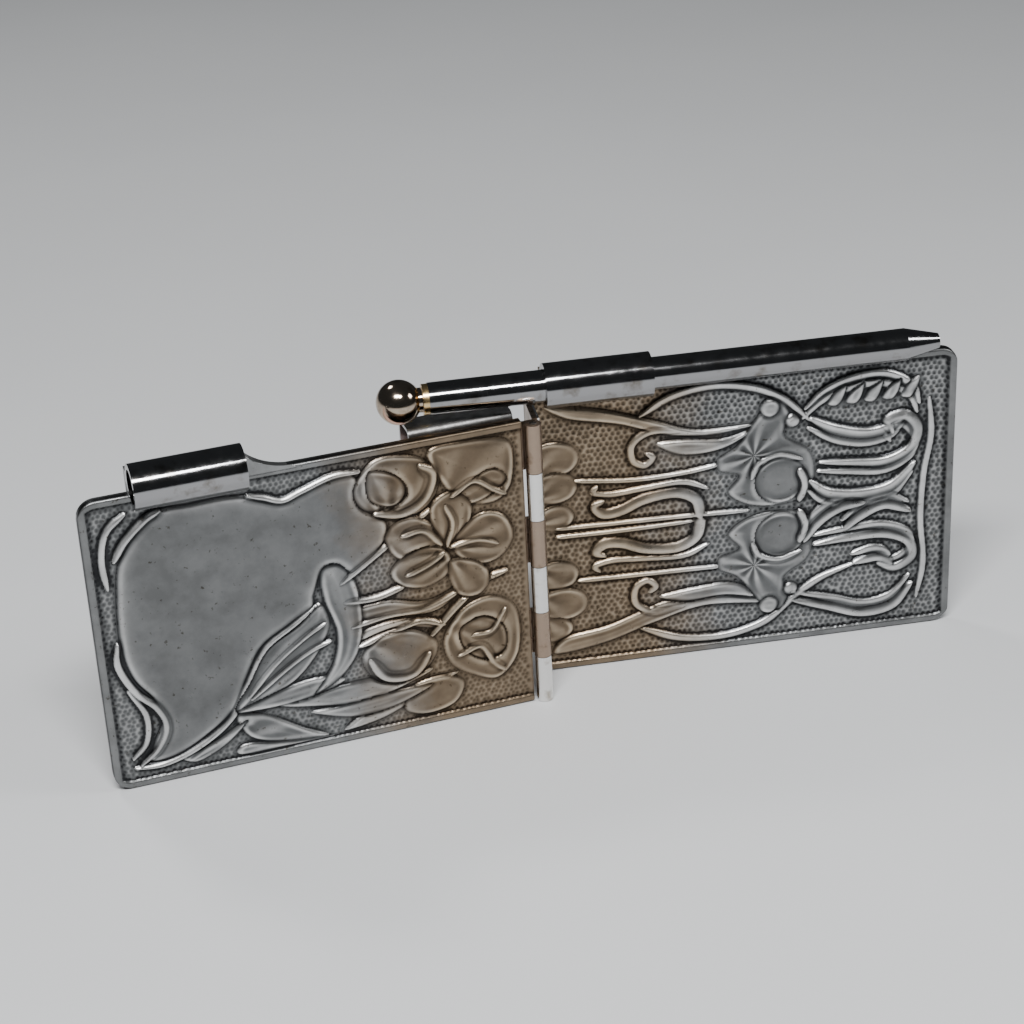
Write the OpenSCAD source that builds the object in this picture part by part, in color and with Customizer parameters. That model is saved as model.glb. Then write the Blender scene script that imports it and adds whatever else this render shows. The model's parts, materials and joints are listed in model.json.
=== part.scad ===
// Pocket ink blotter: two hinged metal covers with a propelling pencil held in a
// loop on the back cover, and a sleeve of blotting leaves behind the front cover.
// Millimetres, +Z up, standing on its long edges. The origin is on the bottom edge
// of the back cover, midway between the hinge line and the free edge.

/* [Covers] */
// Distance from the hinge axis to the free edge of each cover
cover_reach = 84; // [76:1:100]
// Height of both covers
cover_h = 60; // [52:1:75]
// Thickness of the cover sheet
plate_t = 1.2; // [0.8:0.1:1.6]
// Radius of the free corners
corner_r = 3.5; // [2:0.5:8]
// Space between the two decorated faces when the covers are shut
shut_gap = 9.8; // [9.4:0.1:12]
// Angle by which the front cover stands off from straight open
open_angle = 8.8; // [4:0.1:20]

/* [Hinge] */
// Number of knuckles on the hinge
knuckle_count = 6; // [4:2:10]
// Outer diameter of a knuckle
knuckle_d = 3.2; // [2.6:0.1:3.6]
// Diameter of the hinge pin
pin_d = 1.5; // [1:0.1:1.8]
// Length of the hinge
hinge_h = 59; // [50:1:74]
// Thickness of a hinge leaf
leaf_t = 0.4; // [0.3:0.05:0.6]
// Width of a hinge leaf from the hinge axis
leaf_w = 7.6; // [5:0.1:8]
// Thickness of the spine wall
wall_t = 1; // [0.6:0.1:1.4]

/* [Pencil] */
// Outer diameter of the pencil barrel
pencil_d = 6.1; // [5:0.1:6.4]
// Height of the pencil axis above the top edge of the covers
pencil_rise = 3.8; // [3.6:0.1:6]
// Distance from the pencil axis to the face of the back cover
pencil_stand = 4.7; // [4.5:0.1:4.9]
// Position of the back end of the barrel, from the hinge axis
barrel_start = -18.2; // [-24:0.1:-12]
// Length of the barrel
barrel_l = 90.1; // [80:0.1:96]
// Diameter of the ball on the knob
ball_d = 8.4; // [6.8:0.1:8.8]
// Length of the conical nose
nose_l = 6.4; // [5:0.1:10]
// Diameter of the lead
lead_d = 1.1; // [0.7:0.1:1.4]

/* [Loops] */
// Outer diameter of a pencil loop
loop_d = 8.4; // [7.8:0.1:8.8]
// Length of a pencil loop
loop_l = 20; // [12:0.5:26]
// Start of the back cover's loop, from the hinge axis
back_loop_start = 3.2; // [2.5:0.1:10]
// Start of the front cover's loop, from the hinge axis
front_loop_start = 54.7; // [46:0.1:58]

/* [Blotter] */
// Length of the sleeve that holds the blotting leaves
holder_l = 20; // [14:0.5:30]
// Depth of the sleeve over its outer faces
holder_depth = 6.6; // [5.6:0.1:6.8]
// Sheet thickness of the sleeve
holder_t = 0.6; // [0.4:0.1:0.8]
// Distance from the front cover's decorated face to the sleeve
holder_setback = 5.4; // [4:0.1:5.6]
// Height of the sleeve
holder_h = 59.2; // [50:0.1:74]
// Number of blotting leaves
leaf_count = 6; // [2:1:8]
// Thickness of a blotting leaf
paper_t = 0.5; // [0.3:0.05:0.5]
// Height of a blotting leaf
paper_h = 52; // [40:1:53]
// Length of a blotting leaf
paper_l = 74; // [50:1:76]

/* [Hidden] */
$fn = 64;
fit = 0.04;                // running clearance of the hinge pin, per side
slide_fit = 0.08;          // sliding clearance of the pencil in a loop, per side
knuckle_gap = 0.12;        // axial gap between knuckles
edge_gap = 0.7;            // gap between the knuckles and the front cover's edge
swing_gap = 0.2;           // gap between a knuckle and the other leaf
pencil_z = cover_h + pencil_rise;
front_stand = shut_gap - pencil_stand;
loop_bore = pencil_d + 2 * slide_fit;
knuckle_l = hinge_h / knuckle_count;
plate_edge = knuckle_d / 2 + edge_gap;
clear_r = knuckle_d / 2 + swing_gap;
leaf_inner = knuckle_d / 2 - leaf_t;
ear_top = pencil_z + 1.2;
blend = 0.05;              // how far a shoulder's circle dips below the top edge, for a clean meeting
ear_root = 0.5;            // how far an ear reaches into its cover's outline
shoulder_r = 12;           // radius of the sweeping shoulder beside the front loop
saddle_h = 2.4;            // height of the soldered saddle between a loop and its ear
bore_d = 4.2;              // inside diameter of the pencil barrel
nose_tip_d = 2.9;          // diameter of the nose at its open end
spigot_l = 4;              // length of the nose's spigot in the barrel
ring_l = 1.1;              // width of the brass ring behind the barrel
knob_gap = 0.1;            // gap between the ring and the knob
collar_d = 4.6;            // diameter of the knob's collar
collar_l = 1;              // length of the knob's collar
bush_l = 3;                // length of the bearing bush in the back of the barrel
screw_d = 2;               // diameter of the drive screw
carrier_l = 16;            // length of the lead carrier
carrier_cap = 4;           // solid front end of the lead carrier
carrier_reach = 6;         // travel of the lead carrier
lead_grip = 2;             // how far the lead sits in its carrier
lead_inset = 0.6;          // how far the drawn-in lead stays inside the nose
end_play = 1;              // space left beyond a sliding piece at the end of its travel
bracket_l = 12;            // length of a sleeve bracket
bracket_h = 6;             // height of a sleeve bracket
bracket_t = 0.8;           // sheet thickness of a sleeve bracket
card_t = 0.8;              // thickness of the backing card
paper_gap = 0.1;           // air between two leaves
paper_inset = 1.6;         // space between the leaves and the closed end of the sleeve
paper_foot = 2;            // height of the leaves above the table
spring_t = 0.3;            // thickness of the clamp spring
spring_w = 9;              // width of the clamp spring
ear_rise = ear_top - cover_h + blend;
shoulder_sweep = sqrt(ear_rise * (2 * shoulder_r - ear_rise));
barrel_end = barrel_start + barrel_l;
carrier_end = barrel_end - spigot_l - carrier_reach - end_play;
screw_end = carrier_end - carrier_cap - end_play;
ball_x = barrel_start - ring_l - knob_gap - ball_d / 2;

// ---- frames ----

// Hinge frame: X from the hinge axis along the back cover, Y back from its decorated face
module in_hinge_frame() {
    translate([-cover_reach / 2, -plate_t / 2, 0]) children();
}

// Front cover's frame: X from the hinge axis along the front cover, Y back from its face
module in_front_frame() {
    in_hinge_frame() translate([0, -shut_gap, 0]) rotate([0, 0, open_angle])
        mirror([1, 0, 0]) children();
}

// Pencil's frame: Z along the pencil from the hinge line towards the nose
module in_pencil_frame() {
    in_hinge_frame() translate([0, -pencil_stand, pencil_z]) rotate([0, 90, 0]) children();
}

// ---- shapes used more than once ----

// A flat outline in X and Z, made into a sheet that starts at y and is t thick
module sheet(y, t) {
    translate([0, y + t, 0]) rotate([90, 0, 0]) linear_extrude(t) children();
}

// A cover's outline: square at the hinge end, rounded at the free end
module cover_outline(start) {
    square_end = cover_reach - corner_r;
    translate([start, 0]) square([square_end - start, cover_h]);
    translate([square_end, corner_r]) square([corner_r, cover_h - 2 * corner_r]);
    for (z = [corner_r, cover_h - corner_r])
        translate([square_end, z]) circle(corner_r);
}

// The ear that carries a loop; a sweep above 0 adds a concave shoulder on its hinge side
module ear_outline(start, sweep) {
    difference() {
        translate([start - sweep, cover_h - ear_root])
            square([loop_l + sweep, ear_top - cover_h + ear_root]);
        if (sweep > 0) translate([start - sweep, cover_h + shoulder_r - blend]) circle(shoulder_r);
    }
}

// A round loop with a soldered saddle reaching the ear behind it
module pencil_loop(start, stand) {
    difference() {
        union() {
            translate([start, -stand, pencil_z]) rotate([0, 90, 0]) cylinder(d = loop_d, h = loop_l);
            translate([start, -stand, pencil_z - saddle_h / 2]) cube([loop_l, stand, saddle_h]);
        }
        translate([start - 1, -stand, pencil_z]) rotate([0, 90, 0]) cylinder(d = loop_bore, h = loop_l + 2);
    }
}

// One knuckle with its tongue, which joins the leaf; bore is its hole
module knuckle(index, bore) {
    low = index * knuckle_l + (index == 0 ? 0 : knuckle_gap / 2);
    high = (index + 1) * knuckle_l - (index == knuckle_count - 1 ? 0 : knuckle_gap / 2);
    translate([0, 0, low]) difference() {
        union() {
            cylinder(d = knuckle_d, h = high - low);
            translate([0, leaf_inner, 0]) cube([clear_r + 0.5, leaf_t, high - low]);
        }
        translate([0, 0, -1]) cylinder(d = bore, h = high - low + 2);
    }
}

// A hinge leaf along X with every other knuckle, from the one numbered first
module hinge_leaf(first, bore) {
    translate([clear_r, leaf_inner, 0]) cube([leaf_w - clear_r, leaf_t, hinge_h]);
    for (index = [first : 2 : knuckle_count - 1]) knuckle(index, bore);
}

// A block with its four long edges rounded, along X: depth in Y, height in Z
module rounded_bar(length, depth, height, r) {
    rotate([90, 0, 90]) linear_extrude(length) {
        translate([r, 0]) square([depth - 2 * r, height]);
        translate([0, r]) square([depth, height - 2 * r]);
        for (y = [r, depth - r], z = [r, height - r]) translate([y, z]) circle(r);
    }
}

// ---- back cover ----

module back_plate() {
    color("slategray") in_hinge_frame() sheet(0, plate_t) {
        cover_outline(leaf_inner - wall_t);
        ear_outline(back_loop_start, 0);
    }
}

// The wall that carries the hinge out to the level of the front cover
module spine_wall() {
    color("dimgray") in_hinge_frame() translate([leaf_inner - wall_t, clear_r - shut_gap, 0])
        cube([wall_t, shut_gap - clear_r, hinge_h]);
}

module back_hinge_leaf() {
    color("silver") in_hinge_frame() translate([0, -shut_gap, 0])
        mirror([1, -1, 0]) hinge_leaf(0, pin_d + 2 * fit);
}

module back_pencil_loop() {
    color("gainsboro") in_hinge_frame() pencil_loop(back_loop_start, pencil_stand);
}

// ---- front cover ----

module front_plate() {
    color("slategray") in_front_frame() sheet(0, plate_t) {
        cover_outline(plate_edge);
        ear_outline(front_loop_start, shoulder_sweep);
    }
}

module front_hinge_leaf() {
    color("rosybrown") in_front_frame() translate([0, plate_t - leaf_inner, 0]) front_leaf_on_axis();
}

// The front leaf lies against the hidden face of the cover, so its tongues are cranked
module front_leaf_on_axis() {
    crank = plate_t - leaf_inner;
    translate([clear_r, leaf_inner, 0]) cube([leaf_w - clear_r, leaf_t, hinge_h]);
    translate([0, -crank, 0]) for (index = [1 : 2 : knuckle_count - 1]) {
        knuckle(index, pin_d);
        translate([clear_r, leaf_inner, index * knuckle_l + knuckle_gap / 2])
            cube([0.5, crank + leaf_t, knuckle_l - knuckle_gap * (index == knuckle_count - 1 ? 0.5 : 1)]);
    }
}

module hinge_pin() {
    color("gray") in_front_frame() cylinder(d = pin_d, h = hinge_h);
}

module front_pencil_loop() {
    color("gainsboro") in_front_frame() pencil_loop(front_loop_start, front_stand);
}

// ---- blotting leaves behind the front cover ----

holder_start = clear_r + 0.2;
holder_inner = holder_setback + holder_t;
holder_outer = holder_setback + holder_depth - holder_t;

module leaf_holder() {
    color("darkgray") in_front_frame() difference() {
        translate([holder_start, holder_setback, 0]) rounded_bar(holder_l, holder_depth, holder_h, 1.5);
        translate([holder_start + holder_t, holder_inner, holder_t])
            rounded_bar(holder_l, holder_depth - 2 * holder_t, holder_h - 2 * holder_t, 0.9);
    }
}

// Two channel brackets that hold the sleeve off the hidden face of the cover
module holder_brackets() {
    bracket_depth = holder_setback - plate_t - leaf_t;
    color("dimgray") in_front_frame() for (z = [cover_h * 0.15, cover_h * 0.75])
        translate([leaf_w + 0.4, plate_t, z]) difference() {
            cube([bracket_l, bracket_depth + leaf_t, bracket_h]);
            translate([-1, bracket_t, bracket_t])
                cube([bracket_l + 2, bracket_depth + leaf_t - 2 * bracket_t, bracket_h]);
        }
}

// Stacked from the outer wall of the sleeve inwards: card, leaves, spring
card_y = holder_outer - card_t;
leaves_y = card_y - leaf_count * (paper_t + paper_gap);
paper_x = holder_start + paper_inset;

module backing_card() {
    color("burlywood") in_front_frame() translate([paper_x, card_y, paper_foot])
        cube([paper_l, card_t, paper_h]);
}

module blotting_leaves() {
    color("mistyrose") in_front_frame() for (i = [0 : leaf_count - 1])
        translate([paper_x, leaves_y + i * (paper_t + paper_gap) + paper_gap / 2, paper_foot])
            cube([paper_l, paper_t, paper_h]);
}

// A bowed strip between the sleeve's inner wall and the leaves
module clamp_spring() {
    bow = leaves_y - holder_inner;
    chord = holder_l - 5;
    r = (chord * chord / 4 + bow * bow) / (2 * bow);
    color("lightsteelblue") in_front_frame()
        translate([holder_start + holder_l / 2, holder_inner, (holder_h - spring_w) / 2])
            linear_extrude(spring_w) intersection() {
                translate([0, r]) difference() {
                    circle(r, $fn = 180);
                    circle(r - spring_t, $fn = 180);
                }
                translate([-chord / 2, 0]) square([chord, bow]);
            }
}

// ---- pencil ----

module pencil_barrel() {
    color("darkslategray") in_pencil_frame() translate([0, 0, barrel_start]) difference() {
        cylinder(d = pencil_d, h = barrel_l);
        translate([0, 0, -1]) cylinder(d = bore_d, h = barrel_l + 2);
    }
}

module pencil_nose() {
    color("silver") in_pencil_frame() translate([0, 0, barrel_end]) difference() {
        union() {
            translate([0, 0, -spigot_l]) cylinder(d = bore_d, h = spigot_l);
            cylinder(d1 = pencil_d, d2 = nose_tip_d, h = nose_l);
        }
        translate([0, 0, -spigot_l - 1]) cylinder(d = lead_d + 2 * fit, h = nose_l + spigot_l + 2);
    }
}

module pencil_ring() {
    color("gold") in_pencil_frame() translate([0, 0, barrel_start - ring_l]) difference() {
        cylinder(d = pencil_d - 0.3, h = ring_l);
        translate([0, 0, -1]) cylinder(d = screw_d + 1.4, h = ring_l + 2);
    }
}

module barrel_bush() {
    color("goldenrod") in_pencil_frame() translate([0, 0, barrel_start]) difference() {
        cylinder(d = bore_d, h = bush_l);
        translate([0, 0, -1]) cylinder(d = screw_d + 2 * fit, h = bush_l + 2);
    }
}

module knob() {
    color("silver") in_pencil_frame() translate([0, 0, ball_x]) difference() {
        union() {
            sphere(d = ball_d);
            translate([0, 0, ball_d / 2 - collar_l]) cylinder(d = collar_d, h = collar_l);
        }
        cylinder(d = screw_d, h = ball_d);
    }
}

// The knob turns this screw, which runs in the lead carrier
module drive_screw() {
    color("goldenrod") in_pencil_frame() translate([0, 0, ball_x])
        cylinder(d = screw_d, h = screw_end - ball_x);
}

module lead_carrier() {
    color("goldenrod") in_pencil_frame() translate([0, 0, carrier_end - carrier_l]) difference() {
        cylinder(d = bore_d - 2 * fit, h = carrier_l);
        translate([0, 0, -1]) cylinder(d = screw_d + 2 * fit, h = carrier_l - carrier_cap + 1);
        translate([0, 0, carrier_l - lead_grip]) cylinder(d = lead_d, h = lead_grip + 1);
    }
}

module lead() {
    color("black") in_pencil_frame() translate([0, 0, carrier_end - lead_grip])
        cylinder(d = lead_d, h = barrel_end + nose_l - lead_inset - carrier_end + lead_grip);
}

back_plate();
spine_wall();
back_hinge_leaf();
back_pencil_loop();
front_plate();
front_hinge_leaf();
hinge_pin();
front_pencil_loop();
leaf_holder();
holder_brackets();
clamp_spring();
backing_card();
blotting_leaves();
pencil_barrel();
pencil_nose();
pencil_ring();
barrel_bush();
knob();
drive_screw();
lead_carrier();
lead();
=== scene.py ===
import json
import math

import bpy
import numpy as np
from mathutils import Matrix, Vector


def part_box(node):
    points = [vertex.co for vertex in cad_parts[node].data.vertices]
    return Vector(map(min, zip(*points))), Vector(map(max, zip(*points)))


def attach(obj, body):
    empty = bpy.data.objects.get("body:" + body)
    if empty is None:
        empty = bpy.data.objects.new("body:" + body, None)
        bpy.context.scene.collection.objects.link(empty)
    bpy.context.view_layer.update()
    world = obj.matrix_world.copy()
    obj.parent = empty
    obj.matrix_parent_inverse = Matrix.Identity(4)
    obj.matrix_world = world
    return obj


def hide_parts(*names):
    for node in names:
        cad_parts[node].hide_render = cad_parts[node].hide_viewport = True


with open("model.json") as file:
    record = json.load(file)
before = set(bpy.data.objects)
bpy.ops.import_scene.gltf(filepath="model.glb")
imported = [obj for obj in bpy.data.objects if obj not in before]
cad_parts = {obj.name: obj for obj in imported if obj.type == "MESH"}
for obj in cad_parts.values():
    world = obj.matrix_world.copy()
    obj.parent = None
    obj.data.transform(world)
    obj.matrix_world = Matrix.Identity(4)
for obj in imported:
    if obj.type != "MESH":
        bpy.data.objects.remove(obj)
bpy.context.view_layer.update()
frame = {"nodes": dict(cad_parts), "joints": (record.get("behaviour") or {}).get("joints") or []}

MM = 0.001
RNG = np.random.default_rng(7)

# ---- sizes and places ----
# Lengths are in mm. HINGE and the LOW and HIGH corners are in metres, as the frame gives them.

HINGE = Vector(next(j for j in frame["joints"] if j["name"] == "cover_hinge")["pos_m"])
PLATE_LOW, PLATE_HIGH = (Vector(corner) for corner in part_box("back_plate"))
LOOP_LOW, LOOP_HIGH = (Vector(corner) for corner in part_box("back_pencil_loop"))
PLATE_T = (PLATE_HIGH.y - PLATE_LOW.y) / MM
REACH = (PLATE_HIGH.x - HINGE.x) / MM
EAR_TOP = PLATE_HIGH.z / MM
BACK_EDGE = (PLATE_LOW.x - HINGE.x) / MM
FRONT_EDGE = (HINGE.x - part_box("front_plate")[1][0]) / MM
LOOP_L = (LOOP_HIGH.x - LOOP_LOW.x) / MM
BACK_LOOP_START = (LOOP_LOW.x - HINGE.x) / MM

# The CAD model's own values, which its boxes don't give
OPEN_ANGLE = math.radians(8.8)
COVER_H = 60.0
CORNER_R = 3.5
FRONT_LOOP_START = 54.7
SHOULDER_R = 12.0
SHOULDER_SWEEP = 9.78
SHOULDER_DIP = 0.05

# The relief: its grid, the heights of its ground and rim, and how its edges are finished
STEP = 0.2
GROUND = 0.05
RIM_H = 0.45
BORDER = 1.5
EDGE_ROUND = 0.55
STEM_GROOVE = 0.08
PETAL_GROOVE = 0.09
# The metal's tone by height: blur and gain set how hollows darken and raised parts take a painted
# highlight; the rim and ear values hold it at a mid to dark grey
CAVITY_BLUR = 5
CAVITY_GAIN = 1.5
RIM_CAVITY = 0.52
EAR_CAVITY = 0.55


# ---- relief ----
# Heights in mm over a cover, with x from the hinge and z up. The points were read off a straightened
# view of each cover with a grid over it.

def smooth_curve(points, closed=False, per_span=10):
    """A Catmull-Rom curve through the points."""
    p = np.array(points, float)
    if closed:
        p = np.vstack([p[-1], p, p[0], p[1]])
    else:
        p = np.vstack([2 * p[0] - p[1], p, 2 * p[-1] - p[-2]])
    t = np.linspace(0, 1, per_span, endpoint=False)[:, None]
    spans = []
    for a, b, c, d in zip(p[:-3], p[1:-2], p[2:-1], p[3:]):
        spans.append(0.5 * (2 * b + (c - a) * t + (2 * a - 5 * b + 4 * c - d) * t ** 2
                            + (3 * b - a - 3 * c + d) * t ** 3))
    spans.append(p[-2:-1])
    return np.vstack(spans)


def nearest(x, z, curve):
    """Distance to the curve, its sign (left or right), and how far along it the nearest point is."""
    a, b = curve[:-1], curve[1:]
    step = b - a
    length = np.maximum((step ** 2).sum(1), 1e-9)
    best = np.full(x.shape, 1e9)
    along = np.zeros(x.shape)
    side = np.ones(x.shape)
    for i in range(len(a)):
        dx, dz = x - a[i, 0], z - a[i, 1]
        t = np.clip((dx * step[i, 0] + dz * step[i, 1]) / length[i], 0, 1)
        gap = (dx - t * step[i, 0]) ** 2 + (dz - t * step[i, 1]) ** 2
        closer = gap < best
        best = np.where(closer, gap, best)
        along = np.where(closer, (i + t) / len(a), along)
        side = np.where(closer, np.sign(step[i, 0] * dz - step[i, 1] * dx), side)
    return np.sqrt(best), side, along


def inside(x, z, curve):
    """True where a point lies in the closed curve."""
    result = np.zeros(x.shape, bool)
    for (ax, az), (bx, bz) in zip(curve[:-1], curve[1:]):
        if az == bz:
            continue
        crosses = (az > z) != (bz > z)
        result ^= crosses & (x < (bx - ax) * (z - az) / (bz - az) + ax)
    return result


class Relief:
    """A height field over one cover, built up from leaves, petals and stems."""

    def __init__(self, start):
        nx = int((REACH - start) / STEP) + 1
        nz = int(COVER_H / STEP) + 1
        self.x, self.z = np.meshgrid(np.linspace(start, REACH, nx), np.linspace(0, COVER_H, nz))
        self.h = np.full(self.x.shape, GROUND)
        self.raised = np.zeros(self.x.shape, bool)
        self.band = np.zeros(self.x.shape)

    def window(self, curve, margin):
        """The part of the grid that the curve and a margin round it cover."""
        low, high = curve.min(0) - margin, curve.max(0) + margin
        cols = np.where((self.x[0] > low[0]) & (self.x[0] < high[0]))[0]
        rows = np.where((self.z[:, 0] > low[1]) & (self.z[:, 0] < high[1]))[0]
        return np.s_[rows[0]:rows[-1] + 1, cols[0]:cols[-1] + 1]

    def stem(self, points, width, height, lean=0.0, ends=(0.15, 0.15)):
        """A rounded stroke that thins towards its ends; lean raises one of its sides."""
        curve = smooth_curve(points)
        part = self.window(curve, width + 1)
        gap, side, along = nearest(self.x[part], self.z[part], curve)
        thin = np.clip(along / ends[0], 0, 1) * np.clip((1 - along) / ends[1], 0, 1)
        half = width / 2 * (0.25 + 0.75 * np.sqrt(thin))
        u = gap / half
        body = np.sqrt(np.clip(1 - u ** 2, 0, 1))
        body = body * (1 + lean * side * np.clip(u, 0, 1)) / (1 + abs(lean))
        h = self.h[part]
        groove = np.exp(-((u - 1.25) / 0.25) ** 2) * STEM_GROOVE
        self.h[part] = np.where(u < 1, np.maximum(h, GROUND + height * body),
                                h - groove * (u > 1) * (u < 2))
        self.raised[part] |= u < 1.25

    def petal(self, points, height, dome=1.2, lip=0.2, veins=0, pivot=None):
        """A filled shape, domed from its outline, with a rolled lip and fanned veins."""
        curve = smooth_curve(points, closed=True)
        part = self.window(curve, 1.5)
        x, z = self.x[part], self.z[part]
        gap, _, along = nearest(x, z, curve)
        within = inside(x, z, curve)
        roll = lip * (0.55 + 0.45 * np.sin(along * 4 * math.pi + points[0][0]))
        body = height * (1 - np.exp(-gap / dome)) + roll * np.exp(-((gap - 0.5) / 0.45) ** 2)
        if veins:
            px, pz = pivot
            angle = np.arctan2(z - pz, x - px)
            body += 0.1 * np.cos(angle * veins) * np.clip(gap / 1.5, 0, 1)
        h = self.h[part]
        groove = PETAL_GROOVE * np.exp(-(gap / 0.35) ** 2)
        self.h[part] = np.where(within, GROUND + body, h - groove)
        self.raised[part] |= within | (gap < 0.4)

    def stipple(self, pitch=1.15, depth=0.2, radius=0.42):
        """Punched pits over the ground that nothing is raised on."""
        pits = np.zeros(self.x.shape)
        row_pitch = pitch * 0.87
        jitter = 0.12
        reach = 4
        for i, z0 in enumerate(np.arange(1, COVER_H, row_pitch)):
            for x0 in np.arange(self.x[0, 0] + 1 + (i % 2) * pitch / 2, REACH - 1, pitch):
                cx, cz = np.array([x0, z0]) + RNG.normal(0, jitter, 2)
                c, r = int((cx - self.x[0, 0]) / STEP), int(cz / STEP)
                part = np.s_[max(r - reach, 0):r + reach + 1, max(c - reach, 0):c + reach + 1]
                d2 = (self.x[part] - cx) ** 2 + (self.z[part] - cz) ** 2
                pits[part] = np.maximum(pits[part], np.exp(-d2 / radius ** 2))
        self.h -= depth * pits * ~self.raised

    def rim(self):
        """The plain border on three sides, and the rounding of all four edges."""
        edge = np.minimum(np.minimum(self.z, COVER_H - self.z), REACH - self.x)
        self.band = np.clip((BORDER - edge) / 0.35 + 0.5, 0, 1)
        self.h = self.h * (1 - self.band) + RIM_H * self.band
        edge = np.minimum(edge, self.x - self.x[0, 0] + EDGE_ROUND)
        drop = np.clip(1 - edge / EDGE_ROUND, 0, 1)
        self.h -= EDGE_ROUND * (1 - np.sqrt(1 - drop ** 2))


def ring(cx, cz, across, high, count):
    """Points round an ellipse."""
    angles = np.linspace(0, 2 * math.pi, count, endpoint=False)
    return [(cx + across * math.cos(a), cz + high * math.sin(a)) for a in angles]


def mirrored(points):
    """The same points, turned over the cover's middle height."""
    return [(x, COVER_H - z) for x, z in points]


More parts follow.
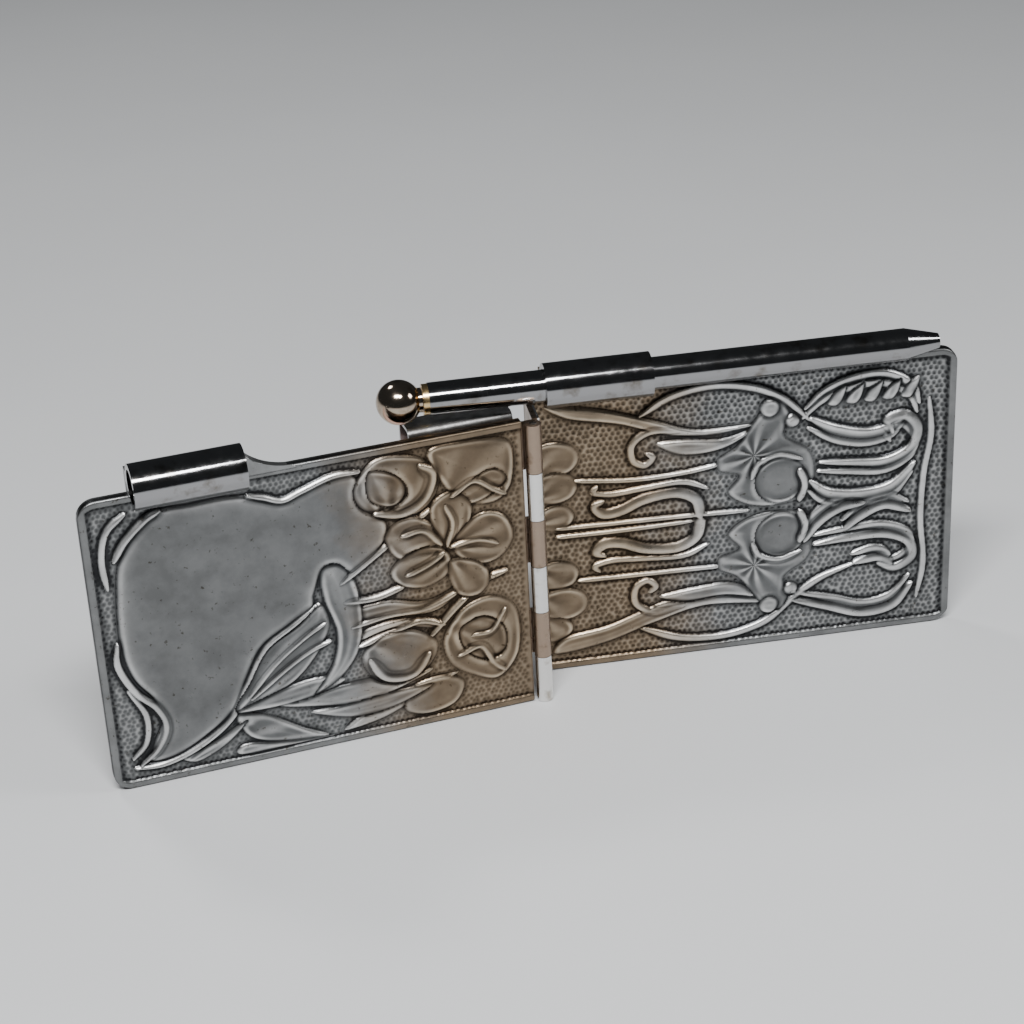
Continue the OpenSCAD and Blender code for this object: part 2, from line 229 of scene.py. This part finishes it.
def back_relief():
    """Lilies, scrolls and acanthus, nearly alike above and below the middle."""
    r = Relief(BACK_EDGE)
    # half flowers against the hinge
    for cx, cz, size in ((5, 46, 4.6), (5, 40, 4.2), (5, 33.5, 3.4), (5, 21, 3.9), (6, 14.5, 4.4),
                         (4, 9, 3.4)):
        r.petal(ring(cx, cz, 1.1 * size, 0.82 * size, 8), 0.45, dome=1.6, lip=0.22,
                veins=7, pivot=(1.2, 30 + (cz - 30) * 0.8))
    # oval wreaths above and below
    for path in ([(22, 53), (28, 56.3), (36, 57.6), (44, 56.2), (50, 53), (55, 48)],
                 [(21, 7), (29, 3.6), (38, 2.8), (46, 4.8), (51, 8.8), (57, 13), (64, 15.5)]):
        r.stem(path, 1.7, 0.75, lean=0.4, ends=(0.1, 0.2))
    # long leaves sweeping out from the hinge
    r.petal([(4, 57.3), (14, 55.6), (24, 52.2), (33, 48.9), (45, 48.6), (36, 47.3), (27, 48.4),
             (18, 51.8), (8, 54.2)], 0.6, dome=0.9, lip=0.25)
    r.petal([(4, 3.4), (14, 4.6), (24, 7.8), (34, 10.2), (47, 9.2), (38, 12.8), (27, 12.6),
             (15, 8.6), (6, 7)], 0.6, dome=0.9, lip=0.25)
    r.petal([(25, 46.8), (30, 47.2), (38, 46.4), (45, 48), (38, 44.2), (30, 43.8)], 0.65, dome=0.8,
            lip=0.25)
    r.petal([(25, 13.6), (33, 14.8), (40, 14.6), (46, 10.4), (38, 12), (30, 11.6)], 0.6, dome=0.8,
            lip=0.25)
    # straight stems
    for path in ([(9, 41), (20, 39.8), (30, 40), (38, 41)],
                 [(9, 19.3), (20, 19), (30, 18.8), (38, 18.6)],
                 [(5, 31.2), (18, 30.9), (32, 30.6), (43, 30.2)], [(5, 29.4), (18, 29.2), (32, 29.4)]):
        r.stem(path, 1.0, 0.5, ends=(0.05, 0.1))
    # hooked scrolls
    hook = [(33.5, 30), (32.5, 34), (28.5, 36), (22.5, 35.4), (18, 33.6), (14.5, 33.3), (12.8, 35),
            (14.5, 36)]
    for path in (hook, mirrored(hook)):
        r.stem(path, 2.3, 0.8, lean=0.35, ends=(0.02, 0.25))
    brow = [(35, 36), (30, 38), (22, 37.6), (16, 37.2), (12.6, 38), (13.4, 39.3)]
    for path in (brow, mirrored(brow)):
        r.stem(path, 1.3, 0.55, lean=-0.3)
    curl = [(30, 49), (24, 49.6), (20.4, 47.4), (20.4, 44), (22.6, 42.6), (24.2, 44), (23, 45.2)]
    for path in (curl, mirrored(curl)):
        r.stem(path, 1.5, 0.65, lean=0.3)
    # the two lilies with their round hearts
    lily = [(37, 42), (41, 44.6), (45, 50.4), (48.6, 53), (51, 50), (50, 45.5), (54.6, 42), (56, 37),
            (54.4, 32), (48, 30.6), (42.6, 31.6), (39, 34.5), (41.2, 38), (37.4, 39.4)]
    for path in (lily, mirrored(lily)):
        r.petal(path, 0.4, dome=1.4, lip=0.14, veins=9, pivot=(44, path[0][1]))
    for cz, turn in ((36, 1), (24, -1)):
        r.petal(ring(49.3, cz, 5.2, 5, 10), 0.35, dome=2.2, lip=0.3)
        r.stem([(43.6, cz + turn), (45, cz + 4 * turn), (49, cz + 5.4 * turn), (53.5, cz + 4 * turn)],
               1.4, 0.85, lean=0.4)
        r.stem([(53, cz + 2 * turn), (54.2, cz - 1.5 * turn), (53, cz - 5 * turn)], 1.7, 0.9, lean=-0.3)
    for cx, cz, size in ((47.2, 51.6, 2), (51.6, 48.4, 1.5), (47, 8.6, 2), (51.4, 11.6, 1.5)):
        r.petal(ring(cx, cz, size, size, 8), 0.7, dome=0.9, lip=0.2)
    # acanthus tips towards the free edge
    tips = [
        ([(54, 50.5), (58, 54), (64, 56), (70, 56), (75, 53), (76.6, 49)], 1.5, 0.7, 0.3),
        ([(55, 48.4), (60, 45.4), (66, 43.8), (71, 44.6), (74, 47)], 2.3, 0.95, 0.5),
        ([(57, 38.8), (63, 38), (70, 37.4), (75, 39.6), (76.4, 43.6), (74, 46.8), (70.4, 46),
          (71.4, 43.4)], 2.0, 0.95, 0.4),
        ([(55, 35), (59, 31.8), (66, 30.8), (72, 32), (76, 36.4)], 2.2, 0.85, 0.4),
        ([(54, 22), (57, 26), (61.5, 28.6), (66, 29)], 2.0, 0.9, -0.4),
        ([(62, 23.6), (66, 26.6), (70.5, 28), (75.4, 26)], 2.1, 0.95, -0.4),
        ([(56, 21), (63, 21.6), (70, 21.6), (75, 19.4), (76, 15.8), (72.6, 13.6), (69, 15)], 2.0, 0.9,
         -0.4),
        ([(52, 9), (60, 6.4), (66, 4.4), (72, 5.2), (76, 9.6)], 2.2, 0.9, -0.4),
        ([(64, 15.8), (69, 16.4), (72, 14.6)], 1.8, 0.8, -0.3),
    ]
    for path, _, _, lean in tips:
        turn = 1 if lean > 0 else -1
        r.stem([(x - 0.4, z - 1.9 * turn) for x, z in path], 1.9, 0.45, ends=(0.3, 0.3))
    for path, width, height, lean in tips:
        r.stem(path, width * 1.15, height, lean=lean, ends=(0.3, 0.2))
    for i in range(5):
        x0 = 58.5 + 3.6 * i
        r.petal([(x0, 51), (x0 + 1.2, 53.6), (x0 + 3.6, 54.8), (x0 + 3.2, 52.2), (x0 + 1.8, 50.4)],
                0.6, 0.7, 0.2)
    r.stem([(77.2, 6), (78.4, 14), (77.6, 24), (78, 34), (79.2, 42), (78.6, 50)], 1.3, 0.35)
    r.stipple()
    r.rim()
    return r


def front_relief():
    """A smooth cartouche with foliage below it and flowers towards the hinge."""
    r = Relief(FRONT_EDGE)
    # bottom foliage, behind the cartouche
    leaves = [
        [(60, 11), (54, 9.4), (48, 5.4), (43, 2.2), (52, 3), (58, 5.6)],
        [(40, 2.6), (32, 3.4), (24, 7), (17, 10), (24, 9.6), (33, 7)],
        [(52, 11), (44, 8.8), (36, 7.4), (28, 9.4), (22, 12), (32, 12.6), (42, 12.4)],
        [(26, 9), (20, 10), (16, 7.6), (18, 3.4), (24, 2.2), (28, 4.4)],
        [(71, 4.4), (64, 6.6), (58, 9.6), (62, 5.4), (68, 2.6)],
        [(59, 4.4), (50, 2.8), (42, 2), (50, 1.8), (60, 2)],
        [(38, 27.6), (30, 28.6), (22, 26.8), (14, 29.4), (20, 24.4), (29, 24.4), (36, 25.4)],
        [(37, 20.6), (29, 22.4), (20, 20.4), (26, 24), (34, 23.4)],
        [(46, 8), (38, 5), (30, 5.4), (22, 8.6), (31, 8.8), (39, 8.2)],
    ]
    for outline in leaves:
        r.petal(outline, 0.5, dome=0.9, lip=0.22, veins=26, pivot=(72, 2))
    # the smooth cartouche
    plain = [(77, 5), (75.6, 9), (74, 13), (75, 18), (78, 23), (79.4, 30), (79, 40), (77.4, 48),
             (72, 55.4), (64, 56), (55, 55.8), (48, 53.4), (42, 55.6), (36, 56.8), (33.4, 54),
             (33.4, 49), (29, 45), (30, 40), (37, 35), (41, 37.6), (43.4, 33), (44, 30), (49, 27),
             (54, 24), (57.4, 18), (60.4, 12), (66, 7.8), (72, 4.8)]
    r.petal(plain, 0.5, dome=0.55, lip=0.06)
    for path, width, height in (
            ([(54, 55.6), (51, 54.6), (47.6, 53.3), (44, 54.4), (38, 56.2), (33, 56)], 1.2, 0.95),
            ([(80.4, 42), (80.8, 48), (79.4, 53.4), (75.6, 56.6)], 1.4, 0.8),
            ([(78.8, 47.4), (76.4, 51), (72.4, 54.6), (69.6, 56)], 1.5, 1.0),
            ([(80, 31), (80.4, 26), (77.8, 20), (74.4, 16), (73, 11.6), (75, 7.4), (78.8, 4.4)], 1.5,
             0.85),
            ([(79.4, 21), (76.6, 15), (77, 9.4), (80, 6)], 1.2, 0.6),
            ([(80, 4.2), (74, 4), (67, 6.4), (61, 10.8), (57.4, 17), (53.6, 23.6), (48, 27.4),
              (42.6, 30.8)], 1.3, 0.95)):
        r.stem(path, width, height, lean=0.35)
    # the leaf bundle that rises from the stem
    r.petal([(60, 11.6), (57, 17.4), (53, 23.6), (47, 27.4), (42.4, 30.6), (41, 26), (44, 20),
             (50, 14.6)], 0.45, dome=1.0, lip=0.2, veins=22, pivot=(62, 9))
    r.petal([(60, 11.4), (52, 14.2), (44, 15.4), (39, 13.6), (44, 11.6), (52, 10.8)], 0.5, dome=0.8,
            lip=0.2)
    for path in ([(57.6, 14), (52, 20), (46, 24.4), (41.8, 26.6)],
                 [(57, 13.6), (50, 18.6), (45, 21.4), (41, 22.6)]):
        r.stem(path, 1.1, 0.85, lean=0.4)
    r.petal([(41.8, 37.4), (38.6, 38.4), (35.6, 34), (34.6, 26), (36, 19), (40, 14), (45, 11.8),
             (41, 17.6), (39.8, 24), (41.6, 31)], 0.65, dome=1.1, lip=0.22)
    # stems behind the flowers
    for path in ([(38.4, 34), (33, 37.4), (27, 41.4), (20, 46)],
                 [(37, 24.4), (30, 25.4), (22, 25.4), (15, 28)],
                 [(22, 19), (17, 24), (11, 28.6), (6.4, 30)], [(38, 30), (32, 29.6), (26, 31)],
                 [(36, 20), (30, 21.4), (24, 22.8), (19, 21)]):
        r.stem(path, 1.3, 0.85, lean=0.35)
    # flowers towards the hinge, each a few overlapping petals
    flowers = [
        ([(34.4, 53), (33.6, 48.6), (28.6, 46), (23.4, 45), (19.4, 48), (18.6, 53), (22.6, 57),
          (30, 57.8)], (30, 44)),
        ([(20, 57.6), (17.6, 50), (13.6, 45.6), (8, 44.6), (4.6, 48), (4.4, 56), (10, 58)], (20, 44)),
        ([(17, 46), (13.4, 49.6), (8.4, 51.8), (5.4, 49), (9, 46), (13.6, 45)], (20, 43)),
        ([(29.4, 42), (24.6, 45), (20, 42.6), (17.4, 37.6), (22, 34.6), (27.4, 37)], (16, 34)),
        ([(20.4, 46.4), (16, 48.6), (12.6, 45.4), (13.4, 40), (17.4, 36.6), (20, 41)], (18, 34)),
        ([(28.6, 34.6), (24, 38), (18.6, 37.4), (17, 32.4), (22, 29.6), (27, 31)], (15, 36)),
        ([(16.6, 38), (11.4, 42.8), (6.4, 41.6), (4.8, 36.4), (8.4, 32.4), (14, 33)], (18, 37)),
        ([(17.6, 34), (12.4, 33.4), (9.6, 29.4), (12, 25.8), (16.4, 27)], (18, 37)),
        ([(35.4, 17.4), (33, 12), (27.4, 10.2), (22.4, 13), (20.8, 17.6), (25.6, 21.4), (31.4, 21.2)],
         (37, 23)),
        ([(19.4, 18), (15.4, 23.6), (9.4, 25), (4.8, 21), (4.8, 12), (9, 7), (14, 8.6), (18.4, 12.2)],
         (23, 23)),
        ([(16.4, 19), (12, 21.4), (7.6, 18.4), (7.4, 13), (11.4, 11.4), (15.4, 14.4)], (20, 22)),
        ([(31.4, 55.6), (26.4, 54), (24.4, 50), (27.6, 47.6), (31.8, 50)], (28, 44)),
    ]
    for outline, pivot in flowers:
        r.petal(outline, 0.62, dome=1.7, lip=0.28, veins=13, pivot=pivot)
    folds = [
        ([(31, 47), (25.4, 46.2), (21.4, 48.4), (19.8, 52.6), (22, 55)], 2.2),
        ([(26.4, 41.4), (22, 41.8), (18.6, 38)], 1.6),
        ([(26, 33), (21.6, 34.6), (18.4, 36.4)], 1.6),
        ([(17.6, 46), (16.2, 42), (17.6, 37.4)], 1.4),
        ([(8, 36), (12, 37.4), (17, 37)], 1.5),
        ([(34, 16.8), (31, 12.4), (26, 12), (22.4, 15.8)], 2.2),
        ([(16.4, 47.4), (12, 50), (8, 47.4), (5.8, 46)], 1.4),
        ([(17, 13.6), (12.4, 15), (10, 11), (7.6, 8.4)], 1.5),
        ([(7, 22), (10, 17.6), (14, 17.4)], 1.3),
    ]
    for path, width in folds:
        r.stem(path, width, 1.05, lean=0.5)
    r.stipple(pitch=1.0, depth=0.15, radius=0.36)
    r.rim()
    return r


# ---- meshes ----

def in_front_frame(points):
    """From the cover's own x, y, z in metres to the front cover's place."""
    c, s = math.cos(OPEN_ANGLE), math.sin(OPEN_ANGLE)
    x, y, z = points[:, 0], points[:, 1], points[:, 2]
    return np.stack([HINGE.x - x * c - y * s, HINGE.y - x * s + y * c, z], 1)


def in_back_frame(points):
    """The same, to the back cover's place."""
    return points + np.array([HINGE.x, PLATE_LOW.y, 0])


def new_object(name, vertices, faces, flip):
    """A mesh object; flip turns its faces over, for a mirrored frame."""
    mesh = bpy.data.meshes.new(name)
    mesh.from_pydata(vertices.tolist(), [], [tuple(reversed(f)) if flip else f for f in faces])
    mesh.validate()
    mesh.update()
    obj = bpy.data.objects.new(name, mesh)
    bpy.context.collection.objects.link(obj)
    return obj


def set_layers(mesh, layers):
    """Stores what the cover's metal reads at each point."""
    for key, values in layers.items():
        layer = mesh.attributes.new(key, "FLOAT", "POINT")
        layer.data.foreach_set("value", values.astype(np.float32))


def box_blur(field, radius):
    """The field's mean over a square round each point."""
    padded = np.pad(field, radius, mode="edge")
    total = np.cumsum(np.cumsum(np.pad(padded, ((1, 0), (1, 0))), 0), 1)
    n = 2 * radius + 1
    return (total[n:, n:] - total[:-n, n:] - total[n:, :-n] + total[:-n, :-n]) / n ** 2


def relief_plate(name, relief, place, flip):
    """A closed sheet whose decorated face follows the relief's heights."""
    rows, cols = relief.x.shape
    past = np.clip((relief.x - (REACH - CORNER_R)) / CORNER_R, 0, 1)
    half = COVER_H / 2 - CORNER_R * (1 - np.sqrt(1 - past ** 2))
    z = COVER_H / 2 + (relief.z / COVER_H - 0.5) * 2 * half
    top = np.stack([relief.x, -relief.h, z], -1).reshape(-1, 3) * MM
    under = np.stack([relief.x, np.full(z.shape, PLATE_T), z], -1).reshape(-1, 3) * MM
    index = np.arange(rows * cols).reshape(rows, cols)
    corners = (index[:-1, :-1], index[:-1, 1:], index[1:, 1:], index[1:, :-1])
    faces = list(map(tuple, np.stack(corners, -1).reshape(-1, 4).tolist()))
    outer = np.concatenate([index[0, :], index[1:, -1], index[-1, -2::-1], index[-2:0:-1, 0]])
    count = rows * cols
    for i in range(len(outer)):
        j = (i + 1) % len(outer)
        faces.append((int(outer[i]), count + i, count + j, int(outer[j])))
    faces.append(tuple(count + i for i in range(len(outer))))
    obj = new_object(name, place(np.vstack([top, under[outer]])), faces, flip)
    # Tone by height over the local mean: darker in hollows, with a painted highlight on raised parts;
    # on the rim it is capped to a darker grey
    hollow_and_highlight = np.clip(0.5 + (relief.h - box_blur(relief.h, CAVITY_BLUR)) * CAVITY_GAIN, 0, 1)
    hollow_and_highlight = np.where(relief.band > 0.2, np.minimum(hollow_and_highlight, RIM_CAVITY), hollow_and_highlight).ravel()
    reach = relief.x.ravel() / REACH
    set_layers(obj.data, {"hollow_and_highlight": np.concatenate([hollow_and_highlight, np.full(len(outer), 0.5)]),
                          "reach": np.concatenate([reach, reach[outer]])})
    for polygon in obj.data.polygons:
        polygon.use_smooth = polygon.index < (rows - 1) * (cols - 1)
    return obj


def ear(name, start, sweep, place, flip):
    """The raised ear behind a loop, with its sweeping shoulder, as one rounded sheet."""
    root = COVER_H - 0.9
    outline = [(start + LOOP_L, root), (start + LOOP_L, EAR_TOP)]
    if sweep:
        for t in np.linspace(math.asin(sweep / SHOULDER_R), 0, 16):
            outline.append((start - sweep + SHOULDER_R * math.sin(t),
                            COVER_H + SHOULDER_R * (1 - math.cos(t)) - SHOULDER_DIP))
        outline.append((start - sweep - 1, root))
    else:
        outline += [(start, EAR_TOP), (start, root)]
    n = len(outline)
    levels = [(PLATE_T, 0.0), (-RIM_H + 0.3, 0.0), (-RIM_H + 0.08, 0.1), (-RIM_H, 0.3)]
    centre = np.mean(outline, 0)
    vertices = []
    for y, inset in levels:
        for x, z in outline:
            away = np.array([x, z]) - centre
            away /= np.linalg.norm(away)
            vertices.append((x - away[0] * inset, y, z - away[1] * inset))
    faces = []
    for level in range(len(levels) - 1):
        for i in range(n):
            j = (i + 1) % n
            faces.append((level * n + i, level * n + j, (level + 1) * n + j, (level + 1) * n + i))
    faces += [tuple(range(n - 1, -1, -1)), tuple((len(levels) - 1) * n + i for i in range(n))]
    obj = new_object(name, place(np.array(vertices) * MM), faces, flip)
    set_layers(obj.data, {"hollow_and_highlight": np.full(len(vertices), EAR_CAVITY),
                          "reach": np.full(len(vertices), start / REACH)})
    return obj


# ---- materials ----

def material(name):
    """A new material, its node tree and its shader."""
    mat = bpy.data.materials.new(name)
    mat.use_nodes = True
    tree = mat.node_tree
    return mat, tree, tree.nodes["Principled BSDF"]


def node(tree, kind, **values):
    """A new node; each value sets an input of that name, or else a property."""
    item = tree.nodes.new(kind)
    for key, value in values.items():
        if key in item.inputs:
            item.inputs[key].default_value = value
        else:
            setattr(item, key, value)
    return item


def ramp(tree, source, stops):
    """The source's value turned into a colour by the stops."""
    item = tree.nodes.new("ShaderNodeValToRGB")
    while len(item.color_ramp.elements) < len(stops):
        item.color_ramp.elements.new(0.5)
    for element, (place, colour) in zip(item.color_ramp.elements, stops):
        element.position = place
        element.color = (*colour, 1)
    tree.links.new(source, item.inputs["Fac"])
    return item.outputs["Color"]


def mix(tree, factor, first, second, blend_type="MIX"):
    """Two colours mixed; each argument is a value or a socket."""
    item = node(tree, "ShaderNodeMix", data_type="RGBA", blend_type=blend_type)
    for value, socket in ((factor, item.inputs[0]), (first, item.inputs[6]), (second, item.inputs[7])):
        if isinstance(value, bpy.types.NodeSocket):
            tree.links.new(value, socket)
        else:
            socket.default_value = value if isinstance(value, float) else (*value, 1)
    return item.outputs[2]


def noise(tree, scale, detail=4.0):
    """Noise through the object's own space; scale is in spots to the metre."""
    place = tree.nodes.new("ShaderNodeTexCoord")
    item = node(tree, "ShaderNodeTexNoise", Scale=scale, Detail=detail, Roughness=0.6)
    tree.links.new(place.outputs["Object"], item.inputs["Vector"])
    return item.outputs["Fac"]


def add_bump(tree, shader, height, strength, distance):
    item = node(tree, "ShaderNodeBump", Strength=strength, Distance=distance)
    tree.links.new(height, item.inputs["Height"])
    tree.links.new(item.outputs["Normal"], shader.inputs["Normal"])


def cover_metal(name, warm_end):
    """Silver plate: darker in its hollows, with a painted highlight on its raised parts, tarnished
    brown towards the hinge, blotched with wear.
    """
    mat, tree, shader = material(name)
    hollow_and_highlight = node(tree, "ShaderNodeAttribute", attribute_name="hollow_and_highlight").outputs["Fac"]
    reach = node(tree, "ShaderNodeAttribute", attribute_name="reach").outputs["Fac"]
    # Both ramps run from dark in the hollows to a painted highlight on the raised parts
    silver = ramp(tree, hollow_and_highlight, [(0.25, (0.03, 0.031, 0.033)), (0.5, (0.18, 0.184, 0.185)),
                                 (0.74, (0.68, 0.68, 0.675))])
    brown = ramp(tree, hollow_and_highlight, [(0.25, (0.035, 0.024, 0.015)), (0.5, (0.19, 0.142, 0.096)),
                                (0.76, (0.56, 0.46, 0.34))])
    spread = node(tree, "ShaderNodeMath", operation="MULTIPLY_ADD")
    tree.links.new(noise(tree, 90.0), spread.inputs[0])
    spread.inputs[1].default_value = 0.3
    tree.links.new(reach, spread.inputs[2])
    warm = ramp(tree, spread.outputs[0], [(warm_end - 0.06, (1, 1, 1)), (warm_end + 0.14, (0, 0, 0))])
    blotch = ramp(tree, noise(tree, 160.0, 6.0), [(0.35, (0.72, 0.72, 0.72)), (0.62, (1, 1, 1))])
    speck = ramp(tree, noise(tree, 900.0, 2.0), [(0.26, (0.45, 0.42, 0.38)), (0.34, (1, 1, 1))])
    colour = mix(tree, warm, silver, brown)
    colour = mix(tree, 1.0, colour, blotch, "MULTIPLY")
    colour = mix(tree, 1.0, colour, speck, "MULTIPLY")
    tree.links.new(colour, shader.inputs["Base Color"])
    shader.inputs["Metallic"].default_value = 0.95
    rough = ramp(tree, noise(tree, 240.0, 5.0), [(0.3, (0.27, 0.27, 0.27)), (0.7, (0.44, 0.44, 0.44))])
    tree.links.new(rough, shader.inputs["Roughness"])
    add_bump(tree, shader, noise(tree, 1400.0, 4.0), 0.25, 0.00012)
    return mat


def polished_metal(name, tone, rough=(0.09, 0.2), tarnish=(0.5, 0.45, 0.38)):
    """Polished plate with fine handling marks and a little tarnish."""
    mat, tree, shader = material(name)
    stain = ramp(tree, noise(tree, 260.0, 6.0), [(0.28, tarnish), (0.46, (1, 1, 1))])
    tree.links.new(mix(tree, 1.0, tone, stain, "MULTIPLY"), shader.inputs["Base Color"])
    shader.inputs["Metallic"].default_value = 1.0
    rub = ramp(tree, noise(tree, 500.0, 5.0), [(0.3, (rough[0],) * 3), (0.75, (rough[1],) * 3)])
    tree.links.new(rub, shader.inputs["Roughness"])
    add_bump(tree, shader, noise(tree, 2500.0, 3.0), 0.08, 0.00005)
    return mat


def dull_surface(name, tone, dark, rough, metallic=0.0, scale=600.0):
    """A plain worn surface, for paper, card, graphite and hidden metal."""
    mat, tree, shader = material(name)
    tree.links.new(ramp(tree, noise(tree, scale, 6.0), [(0.3, dark), (0.7, tone)]),
                   shader.inputs["Base Color"])
    shader.inputs["Metallic"].default_value = metallic
    shader.inputs["Roughness"].default_value = rough
    add_bump(tree, shader, noise(tree, scale * 3, 4.0), 0.3, 0.0001)
    return mat


def dress_nodes():
    """Gives every CAD node that stays visible its finished material."""
    chrome = polished_metal("polished_plate", (0.30, 0.30, 0.305), rough=(0.07, 0.16))
    knuckle = polished_metal("bright_knuckle", (0.80, 0.79, 0.77), rough=(0.14, 0.24))
    ball = polished_metal("warm_ball", (0.46, 0.38, 0.30), rough=(0.08, 0.16))
    brown = polished_metal("brown_hinge", (0.34, 0.26, 0.20), rough=(0.25, 0.42))
    brass = polished_metal("old_brass", (0.78, 0.56, 0.28), rough=(0.15, 0.3),
                           tarnish=(0.45, 0.35, 0.2))
    satin = dull_surface("satin_sleeve", (0.50, 0.50, 0.49), (0.28, 0.27, 0.26), 0.3, metallic=1.0)
    paper = dull_surface("blotting_paper", (0.82, 0.66, 0.64), (0.72, 0.54, 0.53), 0.95)
    card = dull_surface("pressed_card", (0.45, 0.34, 0.24), (0.33, 0.24, 0.16), 0.85)
    graphite = dull_surface("graphite", (0.10, 0.10, 0.11), (0.05, 0.05, 0.055), 0.45)
    chosen = {
        "back_pencil_loop": chrome, "front_pencil_loop": chrome,
        "pencil_barrel": chrome, "pencil_nose": chrome,
        "back_hinge_leaf": knuckle, "hinge_pin": knuckle,
        "front_hinge_leaf": brown, "spine_wall": brown,
        "knob": ball, "pencil_ring": brass, "barrel_bush": brass,
        "drive_screw": brass, "lead_carrier": brass,
        "leaf_holder": satin, "holder_brackets": satin, "clamp_spring": satin,
        "backing_card": card, "blotting_leaves": paper, "lead": graphite,
    }
    for name, mat in chosen.items():
        for slot in frame["nodes"][name].material_slots:
            slot.material = mat


def build_covers():
    """The two relief plates, which stand for the flat CAD plates, and their ears."""
    silver_back = cover_metal("back_cover_metal", 0.46)
    silver_front = cover_metal("front_cover_metal", 0.48)
    back = relief_plate("back_relief_plate", back_relief(), in_back_frame, flip=False)
    front = relief_plate("front_relief_plate", front_relief(), in_front_frame, flip=True)
    back_ear = ear("back_ear", BACK_LOOP_START, 0, in_back_frame, flip=False)
    front_ear = ear("front_ear", FRONT_LOOP_START, SHOULDER_SWEEP, in_front_frame, flip=True)
    for piece, body, mat in ((back, "back_cover", silver_back),
                             (back_ear, "back_cover", silver_back),
                             (front, "front_cover", silver_front),
                             (front_ear, "front_cover", silver_front)):
        piece.data.materials.append(mat)
        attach(piece, body)
    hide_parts("back_plate")
    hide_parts("front_plate")


# ---- stage ----

def build_stage():
    """A plain pale floor, a hair below the part."""
    span, drop = 2.5, -0.0001
    corners = [(-span, -span, drop), (span, -span, drop), (span, span, drop), (-span, span, drop)]
    mesh = bpy.data.meshes.new("floor")
    mesh.from_pydata(corners, [], [(0, 1, 2, 3)])
    floor = bpy.data.objects.new("floor", mesh)
    bpy.context.collection.objects.link(floor)
    mat, tree, shader = material("pale_floor")
    tree.links.new(ramp(tree, noise(tree, 6.0), [(0.3, (0.60, 0.61, 0.62)), (0.7, (0.63, 0.64, 0.65))]),
                   shader.inputs["Base Color"])
    shader.inputs["Roughness"].default_value = 0.6
    mesh.materials.append(mat)


def area_light(name, place, aim, size, power):
    """A soft rectangular lamp, in metres and watts, turned towards aim."""
    lamp = bpy.data.lights.new(name, "AREA")
    lamp.shape = "RECTANGLE"
    lamp.size, lamp.size_y = size
    lamp.energy = power
    obj = bpy.data.objects.new(name, lamp)
    obj.location = place
    obj.rotation_euler = (Vector(aim) - Vector(place)).to_track_quat("-Z", "Y").to_euler()
    bpy.context.collection.objects.link(obj)


def build_light():
    """A bright lamp in front and above, two small ones, and a dim room."""
    middle = (-0.04, -0.01, 0.03)
    area_light("key", (-0.12, -0.42, 0.66), (-0.04, -0.10, 0.0), (0.40, 0.12), 9.0)
    area_light("side", (0.45, -0.15, 0.38), middle, (0.16, 0.16), 1.2)
    area_light("back", (-0.30, 0.34, 0.55), middle, (0.12, 0.12), 1.0)
    world = bpy.data.worlds.new("studio")
    bpy.context.scene.world = world
    world.use_nodes = True
    back = world.node_tree.nodes["Background"]
    back.inputs["Color"].default_value = (0.075, 0.08, 0.085, 1)
    back.inputs["Strength"].default_value = 0.5


def build_camera():
    """At the photograph's angle and distance, which were fitted to the covers and the pencil."""
    azimuth, elevation, roll = (math.radians(v) for v in (8.28, 27.99, -3.01))
    target = Vector((-45.89, -5.6, 38.67)) * MM
    distance = 469.38 * MM
    forward = Vector((math.sin(azimuth) * math.cos(elevation), math.cos(azimuth) * math.cos(elevation),
                      -math.sin(elevation)))
    right = Vector((math.cos(azimuth), -math.sin(azimuth), 0))
    up = right.cross(forward)
    rolled_right = right * math.cos(roll) + up * math.sin(roll)
    rolled_up = up * math.cos(roll) - right * math.sin(roll)
    data = bpy.data.cameras.new("camera")
    data.sensor_width = 36
    data.lens = 87.97
    data.clip_start = 0.01
    obj = bpy.data.objects.new("camera", data)
    axes = Matrix((rolled_right, rolled_up, -forward)).transposed()
    obj.matrix_world = Matrix.Translation(target - forward * distance) @ axes.to_4x4()
    bpy.context.collection.objects.link(obj)
    bpy.context.scene.camera = obj


build_camera()
build_covers()
dress_nodes()
build_stage()
build_light()
